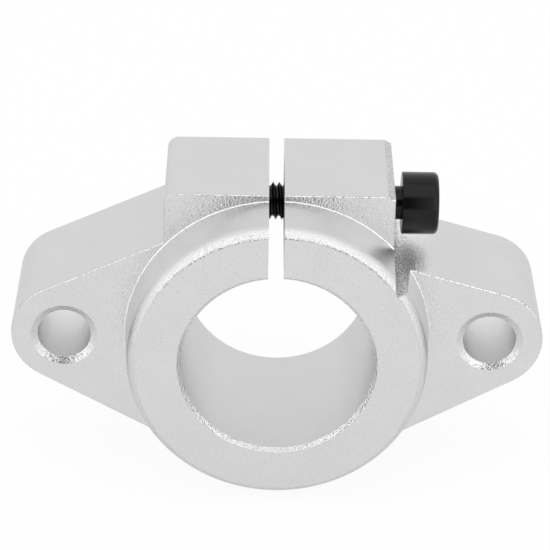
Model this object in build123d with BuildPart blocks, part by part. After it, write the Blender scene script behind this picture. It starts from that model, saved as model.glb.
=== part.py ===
"""Flanged shaft support block: a split clamp ring on a two-hole mounting flange.

Frame, in millimetres: the shaft axis is the Y axis and the flat mounting face
is the plane y = 0. The boss points to -Y, the clamp lugs stand up along +Z and
the head of the clamp screw is on the +X side.
"""
from build123d import *

import os
from math import radians, tan

# Bore and boss
bore_radius = 12.5
bore_chamfer = 0.5
boss_wall = 7.5
boss_length = 7.5
boss_draft = 4.5
boss_rim_radius = 2.0
boss_facing_allowance = 0.25
boss_root_flare = 0.12
boss_sink = 0.3

# Flange, whose thickness the ears and the clamp lugs share
flange_thickness = 17.5
flange_ledge = 0.4
edge_radius = 0.2

# Ears and their mounting holes
hole_pitch = 56.0
hole_radius = 3.5
countersink_width = 0.85
countersink_angle = 120.0
ear_wall = 3.45
ear_rise = 0.15

# Clamp lugs and the slit between them
lug_half_width = 14.9
lug_cover = 2.25
left_corner_radius = 1.5
right_corner_width = 0.95
right_corner_drop = 0.5
left_shoulder_drop = 7.0
inner_corner_radius = 0.6
slit_width = 2.0
slit_offset = -0.38

# Seat beside the right lug, which leaves room for the screw's head
seat_gap = 1.35
seat_length = 2.4
seat_blend_radius = 4.0

# Clamp screw, M5 with a socket head
screw_radius = 2.5
screw_length = 25.0
screw_tip_chamfer = 0.4
neck_radius = 2.24
neck_length = 2.0
head_radius = 4.1
head_height = 4.8
head_rim_radius = 0.75
head_underside_chamfer = 0.1
head_travel = 1.2
socket_width = 4.0
socket_depth = 2.5
drill_point_angle = 118.0

# Holes that the screw runs in
screw_wall = 0.6
clearance_hole_play = 0.25
tapped_hole_play = 0.05
tapped_run_out = 1.5
tap_drill_radius = 2.1

# Sizes that follow from those above
boss_radius = bore_radius + boss_wall
flange_radius = boss_radius + flange_ledge
body_length = flange_thickness + boss_length
cast_length = body_length + boss_facing_allowance
boss_front_radius = boss_radius - (cast_length - flange_thickness) * tan(radians(boss_draft))
ear_radius = hole_radius + ear_wall
ear_reach = hole_pitch / 2 + ear_radius
clearance_hole_radius = screw_radius + clearance_hole_play
tapped_hole_radius = screw_radius + tapped_hole_play
screw_y = -flange_thickness / 2
screw_z = bore_radius + screw_wall + clearance_hole_radius
lug_top = screw_z + clearance_hole_radius + lug_cover
left_shoulder_z = lug_top - left_shoulder_drop
seat_z = screw_z - head_radius - seat_gap
seat_end_x = lug_half_width + seat_length
head_seat_x = lug_half_width + head_travel
head_end_x = head_seat_x + head_height
screw_tip_x = head_seat_x - screw_length
tapped_end_x = screw_tip_x - head_travel - tapped_run_out


def corner_near(sketch, x, y):
    """The corner of a sketch that is nearest to a point of its own plane."""
    return sketch.vertices().sort_by_distance((x, y))[0]


def highest(lines):
    """The uppermost of several lines."""
    return lines.sort_by(Axis.Y)[-1]


def lowest(lines):
    """The lowermost of several lines."""
    return lines.sort_by(Axis.Y)[0]


def draw_flange_outline():
    """The two ears, the round under the boss, the clamp lugs and the screw seat."""
    left_end = CenterArc((-hole_pitch / 2, ear_rise), ear_radius, 0, 360, mode=Mode.PRIVATE)
    right_end = CenterArc((hole_pitch / 2, ear_rise), ear_radius, 0, 360, mode=Mode.PRIVATE)
    boss_round = CenterArc((0, 0), flange_radius, 0, 360, mode=Mode.PRIVATE)

    # Each straight edge of an ear touches the round at the ear's end
    left_top = ConstrainedLines(left_end, (-lug_half_width, left_shoulder_z), selector=highest)
    left_foot = ConstrainedLines(left_end, boss_round, selector=lowest)
    right_foot = ConstrainedLines(right_end, boss_round, selector=lowest)
    right_top = ConstrainedLines(right_end, (seat_end_x, seat_z), selector=highest)

    ThreePointArc(left_top @ 0, (-ear_reach, ear_rise), left_foot @ 0)
    ThreePointArc(left_foot @ 1, (0, -flange_radius), right_foot @ 1)
    ThreePointArc(right_foot @ 0, (ear_reach, ear_rise), right_top @ 0)
    Polyline(
        right_top @ 1,
        (lug_half_width, seat_z),
        (lug_half_width, lug_top),
        (-lug_half_width, lug_top),
        left_top @ 1,
    )


# Support body: one casting, machined at the bore, the holes and the slit
with BuildPart() as support_body:
    with BuildSketch(Plane.XZ) as flange_outline:
        with BuildLine():
            draw_flange_outline()
        make_face()
        fillet(corner_near(flange_outline, -lug_half_width, lug_top), left_corner_radius)
        chamfer(
            corner_near(flange_outline, lug_half_width, lug_top),
            right_corner_width,
            right_corner_drop,
            reference=highest(flange_outline.edges()),
        )
        fillet(corner_near(flange_outline, -lug_half_width, left_shoulder_z), inner_corner_radius)
        fillet(corner_near(flange_outline, lug_half_width, seat_z), inner_corner_radius)
        fillet(corner_near(flange_outline, seat_end_x, seat_z), seat_blend_radius)
    extrude(amount=flange_thickness)
    fillet(faces().sort_by(Axis.Y)[0].outer_wire().edges(), edge_radius)

    # The boss is drafted towards its front, with a rounded rim and a flared root,
    # and facing its end off leaves a crisp edge inside the rim
    with BuildSketch(Plane.XY) as boss_section:
        with BuildLine():
            Polyline(
                (0, -cast_length),
                (boss_front_radius, -cast_length),
                (boss_radius, -flange_thickness - boss_root_flare),
                (boss_radius + boss_root_flare, -flange_thickness),
                (boss_radius, -flange_thickness),
                (boss_radius, -flange_thickness + boss_sink),
                (0, -flange_thickness + boss_sink),
                close=True,
            )
        make_face()
        fillet(corner_near(boss_section, boss_front_radius, -cast_length), boss_rim_radius)
        with Locations((0, -cast_length)):
            Rectangle(boss_radius, boss_facing_allowance, align=Align.MIN, mode=Mode.SUBTRACT)
    revolve(axis=Axis.Y)

    # The screw seat runs on through the boss
    with BuildSketch(Plane.XZ.offset(flange_thickness - boss_sink)) as seat_cut:
        with Locations((lug_half_width, seat_z)):
            Rectangle(boss_radius, boss_radius, align=(Align.MIN, Align.MIN))
        fillet(corner_near(seat_cut, lug_half_width, seat_z), inner_corner_radius)
    extrude(amount=body_length, mode=Mode.SUBTRACT)

    # Shaft bore, chamfered at both ends
    with BuildSketch(Plane.XZ):
        Circle(bore_radius)
    extrude(amount=body_length, mode=Mode.SUBTRACT)
    bore_wall = faces().filter_by(GeomType.CYLINDER).sort_by_distance((0, screw_y, 0))[0]
    chamfer(bore_wall.edges().filter_by(GeomType.CIRCLE), bore_chamfer)

    # Mounting holes through the ears, countersunk at the front
    with Locations(Plane.XZ.offset(flange_thickness).location):
        with GridLocations(hole_pitch, 0, 2, 1):
            CounterSinkHole(
                hole_radius,
                hole_radius + countersink_width,
                depth=flange_thickness,
                counter_sink_angle=countersink_angle,
            )

    # Slit from the bore to the top of the lugs
    with BuildSketch(Plane.XZ):
        with Locations((slit_offset, 0)):
            Rectangle(slit_width, lug_top * 2, align=(Align.CENTER, Align.MIN))
    extrude(amount=body_length, mode=Mode.SUBTRACT)

    # Clearance hole through the right lug, and in the left one the tapped hole,
    # whose drill runs out at the side
    for radius, reach in (
        (clearance_hole_radius, lug_half_width),
        (tapped_hole_radius, tapped_end_x),
        (tap_drill_radius, -lug_half_width - inner_corner_radius),
    ):
        with BuildSketch(Plane.YZ):
            with Locations((screw_y, screw_z)):
                Circle(radius)
        extrude(amount=reach, mode=Mode.SUBTRACT)

support_body.part.label = "support_body"


# Clamp screw, drawn as a half section on its own axis and turned about it
screw_plane = Plane(origin=(0, screw_y, screw_z), x_dir=(1, 0, 0), z_dir=(0, -1, 0))
with BuildPart() as clamp_screw:
    with BuildSketch(screw_plane) as screw_section:
        with BuildLine():
            Polyline(
                (screw_tip_x, 0),
                (screw_tip_x, screw_radius - screw_tip_chamfer),
                (screw_tip_x + screw_tip_chamfer, screw_radius),
                (head_seat_x - neck_length, screw_radius),
                (head_seat_x - neck_length, neck_radius),
                (head_seat_x, neck_radius),
                (head_seat_x, head_radius - head_underside_chamfer),
                (head_seat_x + head_underside_chamfer, head_radius),
                (head_end_x, head_radius),
                (head_end_x, 0),
                close=True,
            )
        make_face()
        fillet(corner_near(screw_section, head_end_x, head_radius), head_rim_radius)
    revolve(axis=Axis(screw_plane.origin, screw_plane.x_dir))

    # Hexagon socket, with the point of the drill below it
    socket_mouth = Plane(origin=(head_end_x, screw_y, screw_z), x_dir=(0, 1, 0), z_dir=(1, 0, 0))
    with BuildSketch(socket_mouth):
        RegularPolygon(socket_width / 2, 6, major_radius=False)
    extrude(amount=-socket_depth, mode=Mode.SUBTRACT)
    point_depth = socket_width / 2 / tan(radians(drill_point_angle / 2))
    with Locations(socket_mouth.offset(-socket_depth).location):
        Cone(
            0,
            socket_width / 2,
            point_depth,
            align=(Align.CENTER, Align.CENTER, Align.MAX),
            mode=Mode.SUBTRACT,
        )

clamp_screw.part.label = "clamp_screw"


os.makedirs("parts", exist_ok=True)
for piece in (support_body.part, clamp_screw.part):
    export_step(piece, f"parts/{piece.label}.step")
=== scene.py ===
"""Looks of a flanged shaft support block: a blasted aluminium casting and its black clamp screw.

The block stands in the frame of its CAD model, in metres: the shaft axis is the Y axis, the
mounting face is the plane y = 0, the boss points to -Y and the clamp lugs stand up along +Z.
"""
import math

import bmesh
import bpy
from bpy.props import FloatProperty, FloatVectorProperty, IntProperty, PointerProperty
from mathutils import Matrix, Vector


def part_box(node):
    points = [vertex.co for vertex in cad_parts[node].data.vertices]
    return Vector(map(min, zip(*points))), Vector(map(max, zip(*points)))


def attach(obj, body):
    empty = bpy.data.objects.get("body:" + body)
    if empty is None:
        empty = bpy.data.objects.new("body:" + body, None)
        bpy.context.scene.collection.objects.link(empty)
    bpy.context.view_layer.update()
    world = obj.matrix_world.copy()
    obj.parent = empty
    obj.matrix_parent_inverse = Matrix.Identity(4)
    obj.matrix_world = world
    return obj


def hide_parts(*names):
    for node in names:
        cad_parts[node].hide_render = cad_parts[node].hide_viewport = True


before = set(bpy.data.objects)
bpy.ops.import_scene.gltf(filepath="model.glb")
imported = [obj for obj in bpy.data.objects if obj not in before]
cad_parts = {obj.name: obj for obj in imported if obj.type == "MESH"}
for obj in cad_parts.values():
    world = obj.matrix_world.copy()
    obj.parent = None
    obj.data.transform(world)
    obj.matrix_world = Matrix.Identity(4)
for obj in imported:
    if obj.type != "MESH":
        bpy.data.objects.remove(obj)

bl_info = {
    "name": "Shaft support block",
    "version": (1, 0, 0),
    "blender": (4, 5, 0),
    "location": "3D View > Sidebar > Shaft Block",
    "description": "Dresses a flanged shaft support block and sets it in a plain studio",
    "category": "Object",
}

MM = 0.001

# Where the body's box begins, and the screw's box, its centre and its head's radius
BODY_LOW = Vector(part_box("support_body")[0])
SCREW_LOW, SCREW_HIGH = (Vector(corner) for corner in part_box("clamp_screw"))
SCREW_CENTRE = (SCREW_LOW + SCREW_HIGH) / 2
HEAD_RADIUS = (SCREW_HIGH.z - SCREW_LOW.z) / 2

# Places on the body, measured from the shaft axis and the mounting face
BORE_RADIUS = 12.5 * MM
BORE_WALL_REACH = BORE_RADIUS + 0.2 * MM
BORE_CHAMFER_REACH = BORE_RADIUS + 0.9 * MM
FLANGE_FRONT = -17.5 * MM
HOLE_X = 28.0 * MM
HOLE_RADIUS = 3.5 * MM
HOLE_WALL_REACH = HOLE_RADIUS + 0.1 * MM
LUG_SIDE_X = 14.9 * MM
LUG_CORNER_Z = 17.5 * MM
FACE_RADIUS = 18.51 * MM
ROOT_RADIUS = 19.8 * MM

# Where a mask fades: its first and second place, and its strength at both
COUNTERSINK_FADE = (4.6 * MM, 4.8 * MM, 1.0, 0.0)                      # away from a mounting hole's axis
EDGE_HIGHLIGHT_FADE = (-15.0 * MM, 18.0 * MM, 0.4, 1.0)                          # from the left lug to the right ear
FLANK_HIGHLIGHT_FADE = (14.0 * MM, 18.5 * MM, 0.0, 1.0)                          # to both sides of the shaft
ROOT_HIGHLIGHT_FADE = (6.0 * MM, 15.0 * MM, 0.4, 1.0)                            # to both sides, at the boss's root
# Painted light and painted shade on the screw's seat: where the seat fades, and its strip of painted shade
# beside the lug
SEAT_FADE = (LUG_SIDE_X, LUG_SIDE_X + 7.0 * MM, 1.0, 0.0)              # away from the right lug
SEAT_SHADE_WIDTH = (LUG_SIDE_X, LUG_SIDE_X + 1.5 * MM, 1.0, 0.0)       # the same, for its dark strip
SEAT_SHADE_LENGTH = (-13.0 * MM, -9.0 * MM, 0.25, 0.5)                 # from the front to the screw's axis
SPECK_FADE = (6.0 * MM, 14.0 * MM, 0.1, 1.0)                           # upwards
FACE_EDGE_FADE = (0.05 * MM, 0.2 * MM, 1.0, 0.0)                       # away from the boss's front edge

# The same for a normal's lean along Y, for faces that are level, slanted and square to the shaft
LEVEL_LEAN = (0.1, 0.2, 1.0, 0.0)
SLANTED_LEAN = (0.1, 0.5, 0.0, 1.0)
SQUARE_LEAN = (0.96, 0.995, 0.0, 1.0)

# The same for how far it points to a side, for faces that aren't flat and those that aren't upright
NOT_FLAT = (0.2, 0.3, 0.0, 1.0)
NOT_UPRIGHT = (0.9, 0.97, 1.0, 0.0)

# The same for how far it points up
MOUTH_RISE = (-0.4, 0.1, 1.0, 0.0)
RIM_HIGHLIGHT_RISE = (0.0, 0.6, 0.1, 1.0)
EDGE_HIGHLIGHT_RISE = (0.2, 0.5, 0.0, 1.0)
SUNK_RISE = (0.2, 0.6, 0.0, 1.0)
SEAT_RISE = (0.8, 0.9, 0.0, 1.0)

# The grain: its noise's rate and share beside the dimples, and the detail of both noises
DIMPLE_SMOOTHNESS = 0.6
NOISE_RATE = 0.9
NOISE_SHARE = 0.55
NOISE_DETAIL = 2.0
CLOUD_DETAIL = 3.0
CLOUDS_PER_METRE = 220.0

# The range that the clouds' noise fills
CLOUDS = (0.3, 0.7)

# Sizes and depths of special grains, as shares of the blasted faces' own
SPECK_SIZE = 0.5
FINE_SIZE = 0.8
STEEL_SIZE = 0.7
SATIN_DEPTH = 0.1
CUT_DEPTH = 0.04
STEEL_DEPTH = 0.08

# Heights of the grain that make the dark specks and dashes, and the blasted faces' mottle
PIT_HEIGHTS = (0.38, 0.5)
MOTTLE_HEIGHTS = (0.35, 0.6)

# How much darker specks and dashes are than the metal, and how much mottle and clouds vary it
SPECK_DARKNESS = 0.85
DASH_DARKNESS = 0.6
MOTTLE = 0.03
CLOUD_TONES = (0.99, 1.01)

# Zones that have dashes beside the flange's upper front edges, which carry a painted highlight, and how
# strong they are there; in the countersinks' bottoms they are strong enough to paint shade
DASHED_ZONES = (("seat", 0.55), ("corner", 0.55), ("sunk_bottom_pits_and_shade", 1.3))

# How much the clouds vary the blackened steel's tone and roughness, and its share of reflection
STEEL_TONES = (0.7, 1.6)
STEEL_ROUGHNESSES = (0.85, 1.25)
STEEL_SPECULAR = 0.25

# Meshes: points nearer than this are one, and steeper edges than this look sharp
MERGE_DISTANCE = 1e-7
SHARP_ANGLE = math.radians(40)

# The stage: the tone of the floor and of the dark card, and the roughness of both
FLOOR_LEVEL = 0.85
CARD_LEVEL = 0.02
MATT_ROUGHNESS = 0.9

# The camera: width of its sensor in millimetres, and the nearest and farthest that it sees
SENSOR_WIDTH = 36.0
CLIP_START, CLIP_END = 0.01, 20.0

# The point that the camera looks at
CAMERA_TARGET = Vector((-0.45, -19.36, 10.36)) * MM


def color_setting(name, description, color):
    """A metal's colour."""
    return FloatVectorProperty(
        name=name,
        description=description,
        subtype="COLOR",
        size=3,
        min=0.0,
        max=1.0,
        default=color,
    )


def factor_setting(name, description, value):
    """A share from 0 to 1."""
    return FloatProperty(
        name=name,
        description=description,
        subtype="FACTOR",
        min=0.0,
        max=1.0,
        default=value,
    )


def length_setting(name, description, length):
    """A length in metres."""
    return FloatProperty(
        name=name,
        description=description,
        subtype="DISTANCE",
        unit="LENGTH",
        min=0.0,
        default=length,
    )


def angle_setting(name, description, degrees):
    """An angle, given in degrees."""
    return FloatProperty(
        name=name,
        description=description,
        subtype="ANGLE",
        default=math.radians(degrees),
    )


class FinishSettings(bpy.types.PropertyGroup):
    """Colours and surface finishes of the two pieces."""

    aluminium_color: color_setting(
        "Aluminium Color",
        "Colour of the flange's side faces and of edges without a colour of their own",
        (0.66, 0.66, 0.662),
    )
    blasted_color: color_setting(
        "Blasted Color",
        "Colour of the blasted front faces",
        (0.67, 0.67, 0.672),
    )
    turned_color: color_setting(
        "Turned Color",
        "Colour of the turned side of the boss",
        (0.625, 0.625, 0.627),
    )
    bored_color: color_setting("Bored Color", "Colour of the wall of the bore", (0.63, 0.63, 0.632))
    # Painted highlight: the turned side of the boss is coloured lighter to the left and right of the shaft
    # than on top
    flank_highlight_color: color_setting(
        "Flank Color",
        "Colour of the boss's left and right flanks",
        (0.76, 0.76, 0.762),
    )
    # Painted light: the seat is coloured far lighter than the metal around it, lifting the dark reflection
    # of the screw's head
    lit_seat_color: color_setting("Milled Color", "Colour of the screw's seat", (0.95, 0.95, 0.952))
    # Painted highlight: the boss's rim is coloured lighter where it looks upwards
    rim_color: color_setting(
        "Rim Color",
        "Colour of the boss's rolled rim, where it looks upwards",
        (0.74, 0.74, 0.742),
    )
    # Painted highlight: a near-white line round the boss's root, fainter in the middle
    root_highlight_color: color_setting(
        "Root Color",
        "Colour of the bright line round the boss's root",
        (0.98, 0.98, 0.98),
    )
    sunk_color: color_setting("Sunk Color", "Colour of the countersinks", (0.65, 0.65, 0.652))
    # Painted highlight: the flange's upward-looking front edges are coloured near white, more towards the
    # right; the dark dashes on them are grain
    edge_highlight_color: color_setting(
        "Worn Color",
        "Colour of the flange's upper front edges, which are rubbed bright",
        (0.92, 0.92, 0.922),
    )
    # Painted highlight: the upper half of the bore's chamfer, which looks downwards, is coloured near
    # white
    mouth_highlight_color: color_setting(
        "Mouth Color",
        "Colour of the upper half of the bore's chamfer",
        (0.88, 0.88, 0.882),
    )
    drilled_color: color_setting(
        "Drilled Color",
        "Colour of the mounting holes' walls, which are cut bright",
        (0.765, 0.765, 0.767),
    )
    blasted_roughness: factor_setting("Blasted Roughness", "Roughness of the blasted front faces", 0.18)
    satin_roughness: factor_setting("Satin Roughness", "Roughness of the flange's side faces", 0.42)
    turned_roughness: factor_setting("Turned Roughness", "Roughness of the turned side of the boss", 0.36)
    mouth_roughness: factor_setting(
        "Mouth Roughness",
        "Roughness of the upper half of the bore's chamfer",
        0.6,
    )
    drilled_roughness: factor_setting("Drilled Roughness", "Roughness of the mounting holes' walls", 0.34)
    bored_roughness: factor_setting("Bored Roughness", "Roughness of the wall of the bore", 0.32)
    edge_roughness: factor_setting(
        "Edge Roughness",
        "Roughness of rims, chamfers, countersinks and rounded edges",
        0.3,
    )
    milled_roughness: factor_setting(
        "Milled Roughness",
        "Roughness of the screw's seat and the right lug's trimmed corner",
        0.26,
    )
    grain_size: length_setting("Grain Size", "Width of one dimple of the blasted faces", 0.24 * MM)
    dash_size: length_setting(
        "Dash Size",
        "Size of the dark dashes on rubbed and milled metal",
        0.26 * MM,
    )
    grain_depth: length_setting("Grain Depth", "Depth of the dimples of the blasted faces", 0.095 * MM)
    edge_grain_depth: length_setting(
        "Edge Grain Depth",
        "Depth of the dimples on rims, chamfers and rounded edges",
        0.16 * MM,
    )
    sunk_grain_depth: length_setting(
        "Sunk Grain Depth",
        "Depth of the dimples in the countersinks, which glitter",
        0.09 * MM,
    )
    milled_grain_depth: length_setting(
        "Milled Grain Depth",
        "Depth of the dimples on the screw's seat and the right lug's trimmed corner",
        0.2 * MM,
    )
    screw_color: color_setting("Screw Color", "Colour of the blackened steel", (0.002, 0.002, 0.0022))
    screw_roughness: factor_setting("Screw Roughness", "Roughness of the blackened steel", 0.18)


class ScrewSettings(bpy.types.PropertyGroup):
    """Sizes of the clamp screw's thread and head."""

    pitch: length_setting("Thread Pitch", "Distance between two turns of the thread", 0.8 * MM)
    crest_radius: length_setting("Crest Radius", "Outer radius of the thread", 2.46 * MM)
    root_radius: length_setting("Root Radius", "Inner radius of the thread", 2.02 * MM)
    thread_phase: FloatProperty(
        name="Thread Phase",
        description="Turn of the thread about the screw's axis, in whole turns",
        subtype="FACTOR",
        default=-0.14,
    )
    neck_radius: length_setting(
        "Neck Radius",
        "Radius of the bare neck between the thread and the head",
        2.22 * MM,
    )
    neck_length: length_setting(
        "Neck Length",
        "Length of the bare neck between the thread and the head",
        2.0 * MM,
    )
    tip_chamfer: length_setting("Tip Chamfer", "Chamfer at the end of the thread", 0.5 * MM)
    head_height: length_setting("Head Height", "Length of the screw's head", 4.8 * MM)
    underside_chamfer: length_setting(
        "Underside Chamfer",
        "Chamfer at the edge of the head's underside",
        0.1 * MM,
    )
    rim_radius: length_setting("Rim Radius", "Rounding of the head's outer edge", 0.7 * MM)
    socket_width: length_setting("Socket Width", "Width across the flats of the hexagon socket", 4.0 * MM)
    socket_depth: length_setting("Socket Depth", "Depth of the hexagon socket", 2.5 * MM)
    segments: IntProperty(
        name="Segments",
        description="Steps round the screw, a multiple of six",
        min=24,
        max=192,
        default=96,
    )


class StudioSettings(bpy.types.PropertyGroup):
    """Camera, lamps and floor."""

    camera_distance: length_setting(
        "Camera Distance",
        "Distance from the camera to the point that it looks at",
        363.0 * MM,
    )
    camera_azimuth: angle_setting(
        "Camera Azimuth",
        "Direction of the view, measured from +Y towards +X",
        0.576,
    )
    camera_elevation: angle_setting("Camera Elevation", "Angle by which the view looks down", 27.69)
    camera_roll: angle_setting("Camera Roll", "Turn of the camera about its own line of sight", 1.178)
    lens: FloatProperty(
        name="Lens",
        description="Focal length, for a sensor 36 mm wide",
        subtype="DISTANCE_CAMERA",
        unit="CAMERA",
        default=183.9,
    )
    floor_glow: factor_setting(
        "Floor Glow",
        "Share of the floor's white that its shadows leave alone",
        0.92,
    )
    reflected_floor_glow: factor_setting(
        "Reflected Floor Glow",
        "The same share, for the floor as the block reflects it",
        0.65,
    )
    floor_in_front: FloatProperty(
        name="Floor In Front",
        description="Brightness of the floor in front of the block, as the block reflects it",
        min=0.0,
        default=1.0,
    )
    floor_behind: FloatProperty(
        name="Floor Behind",
        description="Brightness of the floor behind the block, as the block reflects it",
        min=0.0,
        default=0.88,
    )
    lamp_radiance: FloatProperty(
        name="Lamp Radiance",
        description="Brightness of the soft lamps' faces, where the white surroundings have 1",
        min=0.0,
        default=0.55,
    )


def new_material(name):
    """An empty node material with its output and a Principled BSDF joined to it."""
    material = bpy.data.materials.new(name)
    material.use_nodes = True
    tree = material.node_tree
    tree.nodes.clear()
    output = tree.nodes.new("ShaderNodeOutputMaterial")
    shader = tree.nodes.new("ShaderNodeBsdfPrincipled")
    tree.links.new(shader.outputs["BSDF"], output.inputs["Surface"])
    return material, tree, shader


def assign(piece, material):
    """Gives the whole piece one material."""
    piece.data.materials.clear()
    piece.data.materials.append(material)


class NodeWriter:
    """Short ways to write the nodes of one tree."""

    def __init__(self, tree):
        self.tree = tree

    def node(self, kind, **values):
        """Adds a node and sets its options."""
        made = self.tree.nodes.new(kind)
        for name, value in values.items():
            setattr(made, name, value)
        return made

    def feed(self, socket, value):
        """Joins a socket to another, or gives it a plain value."""
        if isinstance(value, bpy.types.NodeSocket):
            self.tree.links.new(value, socket)
        else:
            socket.default_value = value

    def math(self, operation, *values):
        """The result of a sum, a comparison and the like."""
        made = self.node("ShaderNodeMath", operation=operation)
        for socket, value in zip(made.inputs, values):
            self.feed(socket, value)
        return made.outputs[0]

    def product(self, *values):
        """Multiplies several values."""
        result = values[0]
        for value in values[1:]:
            result = self.math("MULTIPLY", result, value)
        return result

    def inverse(self, mask):
        """1 where the mask is 0, and 0 where it is 1."""
        return self.math("SUBTRACT", 1.0, mask)

    def strongest(self, *masks):
        """The largest of several masks."""
        result = masks[0]
        for mask in masks[1:]:
            result = self.math("MAXIMUM", result, mask)
        return result

    def separate(self, vector):
        """The three parts of a vector."""
        made = self.node("ShaderNodeSeparateXYZ")
        self.feed(made.inputs[0], vector)
        return made.outputs

    def ramp(self, value, low, high, to_low=0.0, to_high=1.0):
        """Carries a value smoothly from one range to another."""
        made = self.node("ShaderNodeMapRange", interpolation_type="SMOOTHSTEP")
        names = ("Value", "From Min", "From Max", "To Min", "To Max")
        for name, given in zip(names, (value, low, high, to_low, to_high)):
            self.feed(made.inputs[name], given)
        return made.outputs["Result"]

    def mix(self, factor, first, second):
        """Mixes two numbers."""
        made = self.node("ShaderNodeMix", data_type="FLOAT")
        for index, value in ((0, factor), (2, first), (3, second)):
            self.feed(made.inputs[index], value)
        return made.outputs[0]

    def mix_color(self, factor, first, second, blend="MIX"):
        """Mixes two colours."""
        made = self.node("ShaderNodeMix", data_type="RGBA", blend_type=blend)
        for index, value in ((0, factor), (6, first), (7, second)):
            self.feed(made.inputs[index], value)
        return made.outputs[2]

    def distance(self, x, z, centre_x=0.0):
        """Distance from an axis along Y at the height of the shaft's."""
        x = self.math("SUBTRACT", x, centre_x)
        return self.math("SQRT", self.math("ADD", self.product(x, x), self.product(z, z)))


def build_grain_group():
    """Dimples and fine pits of a blasted or blackened surface, from 0 to 1."""
    group = bpy.data.node_groups.new("surface_grain", "ShaderNodeTree")
    size = group.interface.new_socket("Size", in_out="INPUT", socket_type="NodeSocketFloat")
    size.default_value = 0.25 * MM
    for name in ("Height", "Clouds"):
        group.interface.new_socket(name, in_out="OUTPUT", socket_type="NodeSocketFloat")
    write = NodeWriter(group)
    given = write.node("NodeGroupInput")
    place = write.node("ShaderNodeTexCoord").outputs["Object"]
    often = write.math("DIVIDE", 1.0, given.outputs["Size"])

    dimples = write.node("ShaderNodeTexVoronoi", feature="SMOOTH_F1")
    noise = write.node("ShaderNodeTexNoise")
    clouds = write.node("ShaderNodeTexNoise")
    for texture in (dimples, noise, clouds):
        write.feed(texture.inputs["Vector"], place)
    write.feed(dimples.inputs["Scale"], often)
    dimples.inputs["Smoothness"].default_value = DIMPLE_SMOOTHNESS
    write.feed(noise.inputs["Scale"], write.product(often, NOISE_RATE))
    noise.inputs["Detail"].default_value = NOISE_DETAIL
    clouds.inputs["Scale"].default_value = CLOUDS_PER_METRE
    clouds.inputs["Detail"].default_value = CLOUD_DETAIL

    leave = write.node("NodeGroupOutput")
    height = write.mix(NOISE_SHARE, dimples.outputs["Distance"], noise.outputs["Fac"])
    write.feed(leave.inputs["Height"], height)
    write.feed(leave.inputs["Clouds"], clouds.outputs["Fac"])
    return group


def add_grain(write, group, size):
    """The grain group, with its own size."""
    made = write.node("ShaderNodeGroup", node_tree=group)
    write.feed(made.inputs["Size"], size)
    return made


def add_bump(write, shader, height):
    """Gives a shader a relief, whose height is in metres."""
    bump = write.node("ShaderNodeBump")
    bump.inputs["Distance"].default_value = 1.0
    write.feed(bump.inputs["Height"], height)
    write.feed(shader.inputs["Normal"], bump.outputs["Normal"])


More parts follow.
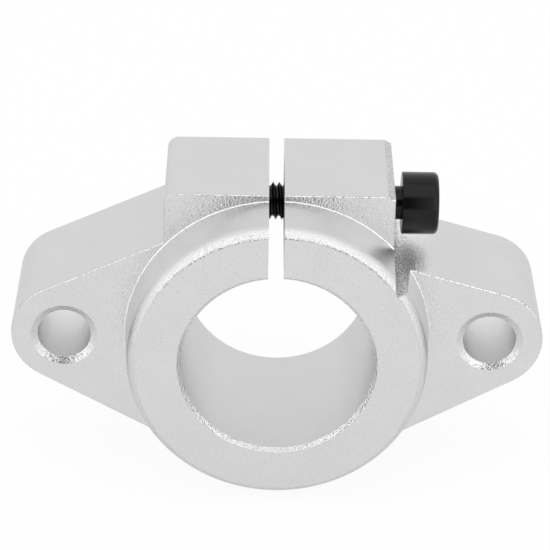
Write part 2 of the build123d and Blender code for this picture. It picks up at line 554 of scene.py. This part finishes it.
def body_zones(write):
    """Masks for the body's faces, told apart by where they lie and which way they look."""
    coordinates = write.node("ShaderNodeTexCoord")
    x, y, z = write.separate(coordinates.outputs["Object"])
    normal_x, normal_y, normal_z = write.separate(coordinates.outputs["Normal"])
    side = write.math("ABSOLUTE", x)
    lean = write.math("ABSOLUTE", normal_y)
    sideways = write.math("ABSOLUTE", normal_x)
    from_axis = write.distance(x, z)
    from_hole = write.distance(side, z, HOLE_X)

    # The body's regions
    in_flange = write.math("GREATER_THAN", y, FLANGE_FRONT)
    in_boss = write.inverse(in_flange)
    in_bore = write.math("LESS_THAN", from_axis, BORE_WALL_REACH)
    off_bore = write.math("GREATER_THAN", from_axis, BORE_CHAMFER_REACH)
    above_boss = write.math("GREATER_THAN", z, LUG_CORNER_Z)
    near_hole = write.ramp(from_hole, *COUNTERSINK_FADE)

    # Faces square to the shaft, level ones, and those between them: rims and chamfers
    blasted = write.ramp(lean, *SQUARE_LEAN)
    level = write.ramp(lean, *LEVEL_LEAN)
    edges = write.product(write.ramp(lean, *SLANTED_LEAN), write.inverse(blasted))

    # The flange's upper front edges and the upper half of the bore's chamfer, both carrying a painted
    # highlight, and the countersinks
    dashed_edge_highlight = write.product(
        edges,
        in_flange,
        off_bore,
        write.inverse(near_hole),
        write.ramp(normal_z, *EDGE_HIGHLIGHT_RISE),
        write.ramp(x, *EDGE_HIGHLIGHT_FADE),
    )
    # painted highlight on the upper half of the bore's chamfer
    mouth = write.product(edges, write.inverse(off_bore), write.ramp(normal_z, *MOUTH_RISE))
    sunk = write.product(edges, near_hole)

    # The boss's rim, the line round its root, and its flanks, all three carrying painted highlights
    rims = write.product(edges, in_boss, off_bore)
    # painted highlight round the boss's root
    root = write.product(
        rims,
        write.math("GREATER_THAN", from_axis, ROOT_RADIUS),
        write.ramp(side, *ROOT_HIGHLIGHT_FADE),
    )
    turned = write.product(in_boss, level, write.inverse(in_bore))

    # The right lug's trimmed corner, and the seat under the screw's head in painted light, with a strip of
    # painted shade beside the lug
    corner = write.product(
        write.ramp(sideways, *NOT_FLAT),
        write.ramp(sideways, *NOT_UPRIGHT),
        above_boss,
        in_flange,
        write.math("GREATER_THAN", x, 0.0),
        level,
    )
    seat = write.product(
        write.math("GREATER_THAN", x, LUG_SIDE_X),
        write.inverse(above_boss),
        write.ramp(x, *SEAT_FADE),
        write.ramp(normal_z, *SEAT_RISE),
        level,
    )
    seat_shade = write.product(
        seat,
        write.ramp(x, *SEAT_SHADE_WIDTH),
        write.ramp(y, *SEAT_SHADE_LENGTH),
    )

    # The edge of the boss's face, most of all at its top
    off_edge = write.math("ABSOLUTE", write.math("SUBTRACT", from_axis, FACE_RADIUS))
    face_edge = write.product(
        write.ramp(off_edge, *FACE_EDGE_FADE),
        in_boss,
        write.ramp(z, *SPECK_FADE),
    )
    return {
        "blasted": blasted,
        "edges": edges,
        "dashed_edge_highlight": dashed_edge_highlight,
        "mouth": mouth,
        "sunk": sunk,
        # the countersinks' upward-looking bottoms: dark pits, made strong enough to paint shade there
        "sunk_bottom_pits_and_shade": write.product(sunk, write.ramp(normal_z, *SUNK_RISE)),
        "corner": corner,
        "seat": seat,
        "seat_shade": seat_shade,
        "turned": turned,
        # painted highlight on the boss's flanks
        "flanks": write.product(turned, write.ramp(side, *FLANK_HIGHLIGHT_FADE)),
        "rims": rims,
        # painted highlight on the upward-looking part of the boss's rim
        "rim_painted_highlight": write.product(rims, write.ramp(normal_z, *RIM_HIGHLIGHT_RISE)),
        "root": root,
        "bored": write.product(in_bore, level),
        "drilled": write.product(write.math("LESS_THAN", from_hole, HOLE_WALL_REACH), level),
        "face_edge": face_edge,
    }


def metal_tone(write, zones, finish, grain_group, clouds, fine_height):
    """How much lighter or darker each spot is than its zone's colour, about 1."""
    specks = add_grain(write, grain_group, finish.grain_size * SPECK_SIZE).outputs["Height"]
    specks = write.product(zones["face_edge"], write.ramp(specks, *PIT_HEIGHTS, SPECK_DARKNESS, 0.0))
    dashes = add_grain(write, grain_group, finish.dash_size).outputs["Height"]
    dashed = (write.product(zones[zone], strength) for zone, strength in DASHED_ZONES)
    dashed = write.strongest(zones["dashed_edge_highlight"], *dashed)
    dashes = write.product(dashed, write.ramp(dashes, *PIT_HEIGHTS, DASH_DARKNESS, 0.0))
    tone = write.ramp(clouds, *CLOUDS, *CLOUD_TONES)
    # specks and dashes are grain; the seat's strip beside the lug is painted shade
    for darker in (specks, dashes, zones["seat_shade"]):
        tone = write.math("SUBTRACT", tone, darker)
    mottle = write.ramp(fine_height, *MOTTLE_HEIGHTS, -MOTTLE, MOTTLE)
    return write.math("ADD", tone, write.product(zones["blasted"], mottle))


def build_aluminium(finish, grain_group):
    """Bare aluminium: blasted in front, satin at the sides, turned at the boss and cut bright in the
    bores, with painted highlights and painted shade in places.
    """
    material, tree, shader = new_material("blasted_aluminium")
    write = NodeWriter(tree)
    zones = body_zones(write)
    grain = add_grain(write, grain_group, finish.grain_size)
    fine_height = add_grain(write, grain_group, finish.grain_size * FINE_SIZE).outputs["Height"]

    color = (*finish.aluminium_color, 1.0)
    for zone, zone_color in (
        ("blasted", finish.blasted_color),
        ("turned", finish.turned_color),
        ("flanks", finish.flank_highlight_color),
        ("bored", finish.bored_color),
        ("drilled", finish.drilled_color),
        ("dashed_edge_highlight", finish.edge_highlight_color),
        ("mouth", finish.mouth_highlight_color),
        ("rim_painted_highlight", finish.rim_color),
        ("root", finish.root_highlight_color),
        ("seat", finish.lit_seat_color),
        ("sunk", finish.sunk_color),
    ):
        color = write.mix_color(zones[zone], color, (*zone_color, 1.0))
    tone = metal_tone(write, zones, finish, grain_group, grain.outputs["Clouds"], fine_height)
    gray = write.node("ShaderNodeCombineColor")
    for socket in gray.inputs[:3]:
        write.feed(socket, tone)
    write.feed(shader.inputs["Base Color"], write.mix_color(1.0, color, gray.outputs[0], blend="MULTIPLY"))
    shader.inputs["Metallic"].default_value = 1.0

    roughness, depth = finish.satin_roughness, finish.grain_depth * SATIN_DEPTH
    for zone, zone_roughness, zone_depth in (
        ("blasted", finish.blasted_roughness, finish.grain_depth),
        ("turned", finish.turned_roughness, finish.grain_depth * CUT_DEPTH),
        ("bored", finish.bored_roughness, finish.grain_depth * CUT_DEPTH),
        ("drilled", finish.drilled_roughness, finish.grain_depth * CUT_DEPTH),
        ("edges", finish.edge_roughness, finish.edge_grain_depth),
        ("mouth", finish.mouth_roughness, finish.edge_grain_depth),
        ("sunk", finish.edge_roughness, finish.sunk_grain_depth),
        ("corner", finish.milled_roughness, finish.milled_grain_depth),
        ("seat", finish.milled_roughness, finish.milled_grain_depth),
    ):
        roughness = write.mix(zones[zone], roughness, zone_roughness)
        depth = write.mix(zones[zone], depth, zone_depth)
    write.feed(shader.inputs["Roughness"], roughness)
    height = write.mix(zones["rims"], grain.outputs["Height"], fine_height)
    add_bump(write, shader, write.product(height, depth))
    return material


def build_blackened_steel(finish, grain_group):
    """Steel with a thin black oxide skin, slightly oiled."""
    material, tree, shader = new_material("blackened_steel")
    write = NodeWriter(tree)
    grain = add_grain(write, grain_group, finish.grain_size * STEEL_SIZE)
    clouds = grain.outputs["Clouds"]
    color = write.node("ShaderNodeVectorMath", operation="SCALE")
    color.inputs[0].default_value = finish.screw_color
    write.feed(color.inputs["Scale"], write.ramp(clouds, *CLOUDS, *STEEL_TONES))
    write.feed(shader.inputs["Base Color"], color.outputs[0])
    smooth, rough = (finish.screw_roughness * share for share in STEEL_ROUGHNESSES)
    write.feed(shader.inputs["Roughness"], write.ramp(clouds, *CLOUDS, smooth, rough))
    shader.inputs["Specular IOR Level"].default_value = STEEL_SPECULAR
    add_bump(write, shader, write.product(grain.outputs["Height"], finish.grain_depth * STEEL_DEPTH))
    return material


def shared_grain():
    """The grain group, built once for both materials."""
    return bpy.data.node_groups.get("surface_grain") or build_grain_group()


def skin_rings(bm, rings):
    """Faces between each ring of vertices and the next."""
    for near, far in zip(rings, rings[1:]):
        for step in range(len(near)):
            after = (step + 1) % len(near)
            bm.faces.new((near[step], near[after], far[after], far[step]))


def round_screw(x, radius, angle):
    """A point at a distance from the screw's axis."""
    return (x, SCREW_CENTRE.y + radius * math.cos(angle), SCREW_CENTRE.z + radius * math.sin(angle))


def ring_of(bm, x, radius, segments):
    """A ring of vertices round the screw's axis, whose radius may depend on the angle."""
    ring = []
    for step in range(segments):
        angle = 2 * math.pi * step / segments
        reach = radius(angle) if callable(radius) else radius
        ring.append(bm.verts.new(round_screw(x, reach, angle)))
    return ring


def close_ring(bm, ring, x):
    """Closes a ring with a fan of triangles to a point on the screw's axis."""
    tip = bm.verts.new((x, SCREW_CENTRE.y, SCREW_CENTRE.z))
    for step in range(len(ring)):
        bm.faces.new((ring[step], ring[(step + 1) % len(ring)], tip))


# One turn of a metric thread: share of the pitch, and 1 at the crest or 0 at the root
THREAD_SHAPE = ((0.0, 1.0), (0.125, 1.0), (0.4375, 0.0), (0.6875, 0.0))


def add_thread(bm, sizes, start, end):
    """A right-hand thread from the screw's tip to its neck, closed at the tip and run out at the neck."""
    turns = int((end - start) / sizes.pitch) + 3
    tip_radius = sizes.crest_radius - sizes.tip_chamfer
    strip = []
    for turn in range(-2, turns):
        for share, level in THREAD_SHAPE:
            column = []
            for step in range(sizes.segments):
                angle = 2 * math.pi * step / sizes.segments
                along = (turn + share + sizes.thread_phase + step / sizes.segments) * sizes.pitch
                x = min(max(start + along, start), end)
                reach = sizes.root_radius + (sizes.crest_radius - sizes.root_radius) * level
                reach = min(reach, tip_radius + (x - start), sizes.root_radius + (end - x))
                column.append(bm.verts.new(round_screw(x, reach, angle)))
            strip.append(column)
    per_turn = len(THREAD_SHAPE)
    for index in range(len(strip) - 1):
        near, far = strip[index], strip[index + 1]
        for step in range(sizes.segments - 1):
            bm.faces.new((near[step], near[step + 1], far[step + 1], far[step]))
        if index + 1 + per_turn < len(strip):
            joined, joined_far = strip[index + per_turn], strip[index + per_turn + 1]
            bm.faces.new((near[-1], joined[0], joined_far[0], far[-1]))
    close_ring(bm, ring_of(bm, start, tip_radius, sizes.segments), start)


# The head: how far its socket flares and how deep that reaches, its end cone, and the rim's steps
SOCKET_FLARE = 0.05 * MM
SOCKET_LEAD = 0.3 * MM
SOCKET_CONE = 0.6
RIM_STEPS = 8


def add_head(bm, sizes, seat, end):
    """The head with its rounded rim and hexagon socket."""
    flat = sizes.socket_width / 2

    def hexagon(angle):
        """Distance from the axis to the socket's wall."""
        return flat / math.cos((angle % (math.pi / 3)) - math.pi / 6)

    mouth = flat / math.cos(math.pi / 6) + SOCKET_FLARE
    neck = seat - sizes.neck_length
    profile = [
        (neck, sizes.root_radius),
        (neck + (sizes.neck_radius - sizes.root_radius), sizes.neck_radius),
        (seat, sizes.neck_radius),
        (seat, HEAD_RADIUS - sizes.underside_chamfer),
        (seat + sizes.underside_chamfer, HEAD_RADIUS),
    ]
    for step in range(RIM_STEPS + 1):
        turn = math.pi / 2 * step / RIM_STEPS
        profile.append((
            end - sizes.rim_radius * (1 - math.sin(turn)),
            HEAD_RADIUS - sizes.rim_radius * (1 - math.cos(turn)),
        ))
    profile += [(end, mouth), (end - SOCKET_LEAD, hexagon), (end - sizes.socket_depth, hexagon)]
    rings = [ring_of(bm, x, radius, sizes.segments) for x, radius in profile]
    skin_rings(bm, rings)
    close_ring(bm, rings[-1], end - sizes.socket_depth - flat * SOCKET_CONE)


def finish_mesh(name, bm):
    """Turns a bmesh into an object, shaded smooth but for its sharp edges."""
    bmesh.ops.remove_doubles(bm, verts=bm.verts, dist=MERGE_DISTANCE)
    bmesh.ops.dissolve_degenerate(bm, edges=bm.edges, dist=MERGE_DISTANCE)
    bmesh.ops.recalc_face_normals(bm, faces=bm.faces)
    mesh = bpy.data.meshes.new(name)
    bm.to_mesh(mesh)
    bm.free()
    piece = bpy.data.objects.new(name, mesh)
    bpy.context.scene.collection.objects.link(piece)
    for face in mesh.polygons:
        face.use_smooth = True
    mesh.set_sharp_from_angle(angle=SHARP_ANGLE)
    return piece


class SHAFTBLOCK_OT_dress_body(bpy.types.Operator):
    """Gives the cast body its blasted and machined metal finish"""

    bl_idname = "shaft_block.dress_body"
    bl_label = "Dress Support Body"

    def execute(self, context):
        finish = context.scene.shaft_block_finish
        assign(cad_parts["support_body"], build_aluminium(finish, shared_grain()))
        return {"FINISHED"}


class SHAFTBLOCK_OT_build_clamp_screw(bpy.types.Operator):
    """Builds the socket head screw with its thread"""

    bl_idname = "shaft_block.build_clamp_screw"
    bl_label = "Build Clamp Screw"

    def execute(self, context):
        sizes = context.scene.shaft_block_screw
        end = SCREW_HIGH.x
        seat = end - sizes.head_height
        bm = bmesh.new()
        add_thread(bm, sizes, SCREW_LOW.x, seat - sizes.neck_length)
        add_head(bm, sizes, seat, end)
        screw = finish_mesh("threaded_clamp_screw", bm)
        assign(screw, build_blackened_steel(context.scene.shaft_block_finish, shared_grain()))
        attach(screw, "screw")
        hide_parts("clamp_screw")
        return {"FINISHED"}


class SHAFTBLOCK_OT_build_studio(bpy.types.Operator):
    """Sets the camera, the lamps, the floor and the white surroundings"""

    bl_idname = "shaft_block.build_studio"
    bl_label = "Build Studio"

    def execute(self, context):
        studio = context.scene.shaft_block_studio
        place_camera(context.scene, studio)
        place_floor(studio)
        light_world(context.scene)
        place_lamps(studio)
        place_dark_card()
        context.scene.view_settings.view_transform = "Standard"
        return {"FINISHED"}


def place_camera(scene, studio):
    """Makes the camera and turns it to the photograph's viewing angle."""
    azimuth, elevation, roll = studio.camera_azimuth, studio.camera_elevation, studio.camera_roll
    forward = Vector((
        math.sin(azimuth) * math.cos(elevation),
        math.cos(azimuth) * math.cos(elevation),
        -math.sin(elevation),
    ))
    level_right = Vector((math.cos(azimuth), -math.sin(azimuth), 0.0))
    level_up = level_right.cross(forward)
    right = level_right * math.cos(roll) + level_up * math.sin(roll)
    up = right.cross(forward)
    data = bpy.data.cameras.new("camera")
    data.lens = studio.lens
    data.sensor_width = SENSOR_WIDTH
    data.clip_start = CLIP_START
    data.clip_end = CLIP_END
    camera = bpy.data.objects.new("camera", data)
    scene.collection.objects.link(camera)
    turn = Matrix((right, up, -forward)).transposed()
    place = CAMERA_TARGET - forward * studio.camera_distance
    camera.matrix_world = Matrix.Translation(place) @ turn.to_4x4()
    scene.camera = camera


def matt_material(name, level):
    """A plain matt grey for the stage."""
    material, tree, shader = new_material(name)
    shader.inputs["Base Color"].default_value = (level, level, level, 1.0)
    shader.inputs["Roughness"].default_value = MATT_ROUGHNESS
    shader.inputs["Specular IOR Level"].default_value = 0.0
    return material, tree, shader


def sees_background(write):
    """1 for rays that see the surroundings: the camera's, and those reflected or let through."""
    paths = write.node("ShaderNodeLightPath").outputs
    return write.strongest(paths["Is Camera Ray"], paths["Is Glossy Ray"], paths["Is Transmission Ray"])


# The floor: half its width, and where its brightness changes along Y as the block reflects it
FLOOR_REACH = 3.0
FLOOR_FADE = (-0.03, 0.03)


def place_floor(studio):
    """A wide floor that shows white with a soft shadow where the block stands on it."""
    material, tree, shader = matt_material("studio_floor", FLOOR_LEVEL)
    write = NodeWriter(tree)
    plain = write.node("ShaderNodeEmission")
    _, y, _ = write.separate(write.node("ShaderNodeTexCoord").outputs["Object"])
    behind = write.ramp(y, *FLOOR_FADE, studio.floor_in_front, studio.floor_behind)
    reflected = write.node("ShaderNodeLightPath").outputs["Is Glossy Ray"]
    write.feed(plain.inputs["Strength"], write.mix(reflected, 1.0, behind))
    glowing = write.node("ShaderNodeMixShader")
    glow = write.mix(reflected, studio.floor_glow, studio.reflected_floor_glow)
    write.feed(glowing.inputs["Fac"], write.product(sees_background(write), glow))
    write.feed(glowing.inputs[1], shader.outputs["BSDF"])
    write.feed(glowing.inputs[2], plain.outputs["Emission"])
    output = next(node for node in tree.nodes if node.type == "OUTPUT_MATERIAL")
    tree.links.new(glowing.outputs["Shader"], output.inputs["Surface"])

    bm = bmesh.new()
    corners = ((-1, -1), (1, -1), (1, 1), (-1, 1))
    bm.faces.new([bm.verts.new((x * FLOOR_REACH, y * FLOOR_REACH, BODY_LOW.z)) for x, y in corners])
    floor = finish_mesh("studio_floor", bm)
    assign(floor, material)


def light_world(scene):
    """White surroundings, as in a light tent."""
    world = bpy.data.worlds.new("studio_world")
    world.use_nodes = True
    background = world.node_tree.nodes["Background"]
    background.inputs["Color"].default_value = (1.0, 1.0, 1.0, 1.0)
    background.inputs["Strength"].default_value = 1.0
    scene.world = world


# Soft lamps: name, direction from the block, width, height and share of the lamps' brightness
LAMPS = (
    ("top_lamp", (0.0, -0.4, 1.0), 1.2, 0.8, 0.65),
    ("left_lamp", (-0.75, -1.0, 0.3), 0.8, 0.8, 1.3),
    ("right_lamp", (0.75, -1.0, 0.3), 0.8, 0.8, 1.3),
)
LAMP_DISTANCE = 0.8


def place_lamps(studio):
    """Large soft lamps above the block and at both sides."""
    for name, direction, width, height, share in LAMPS:
        data = bpy.data.lights.new(name, "AREA")
        data.shape = "RECTANGLE"
        data.size, data.size_y = width, height
        data.energy = studio.lamp_radiance * share * math.pi * width * height    # in watts
        lamp = bpy.data.objects.new(name, data)
        bpy.context.scene.collection.objects.link(lamp)
        direction = Vector(direction).normalized()
        lamp.location = direction * LAMP_DISTANCE
        lamp.rotation_mode = "QUATERNION"
        lamp.rotation_quaternion = direction.to_track_quat("Z", "Y")


# The dark card: its distance, its lower and upper edge, and its left and right edge
CARD_DISTANCE = 0.7
CARD_ELEVATIONS = (math.radians(2), math.radians(47))
CARD_SIDES = (-0.16, 0.11)


def place_dark_card():
    """A dark card in front, where a light tent is open for the camera."""
    material, _, _ = matt_material("dark_card", CARD_LEVEL)
    bm = bmesh.new()
    low, high = CARD_ELEVATIONS
    left, right = CARD_SIDES
    points = []
    for elevation, side in ((low, left), (low, right), (high, right), (high, left)):
        place = (side, -CARD_DISTANCE * math.cos(elevation), CARD_DISTANCE * math.sin(elevation))
        points.append(bm.verts.new(place))
    bm.faces.new(points)
    card = finish_mesh("dark_card", bm)
    card.visible_camera = False
    card.visible_shadow = False
    card.visible_diffuse = False
    assign(card, material)


class SHAFTBLOCK_PT_panel(bpy.types.Panel):
    """Lists what builds the shaft support block"""

    bl_label = "Shaft Support Block"
    bl_idname = "SHAFTBLOCK_PT_panel"
    bl_space_type = "VIEW_3D"
    bl_region_type = "UI"
    bl_category = "Shaft Block"

    def draw(self, context):
        for operator in OPERATORS:
            self.layout.operator(operator.bl_idname)


SETTINGS = {
    "shaft_block_finish": FinishSettings,
    "shaft_block_screw": ScrewSettings,
    "shaft_block_studio": StudioSettings,
}
OPERATORS = (
    SHAFTBLOCK_OT_dress_body,
    SHAFTBLOCK_OT_build_clamp_screw,
    SHAFTBLOCK_OT_build_studio,
)
CLASSES = (*SETTINGS.values(), *OPERATORS, SHAFTBLOCK_PT_panel)


def register():
    for cls in CLASSES:
        bpy.utils.register_class(cls)
    for name, settings in SETTINGS.items():
        setattr(bpy.types.Scene, name, PointerProperty(type=settings))


def unregister():
    for name in SETTINGS:
        delattr(bpy.types.Scene, name)
    for cls in reversed(CLASSES):
        bpy.utils.unregister_class(cls)


def main():
    """Builds the whole scene."""
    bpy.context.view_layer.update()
    register()
    bpy.ops.shaft_block.dress_body()
    bpy.ops.shaft_block.build_clamp_screw()
    bpy.ops.shaft_block.build_studio()


if __name__ == "__main__":
    main()
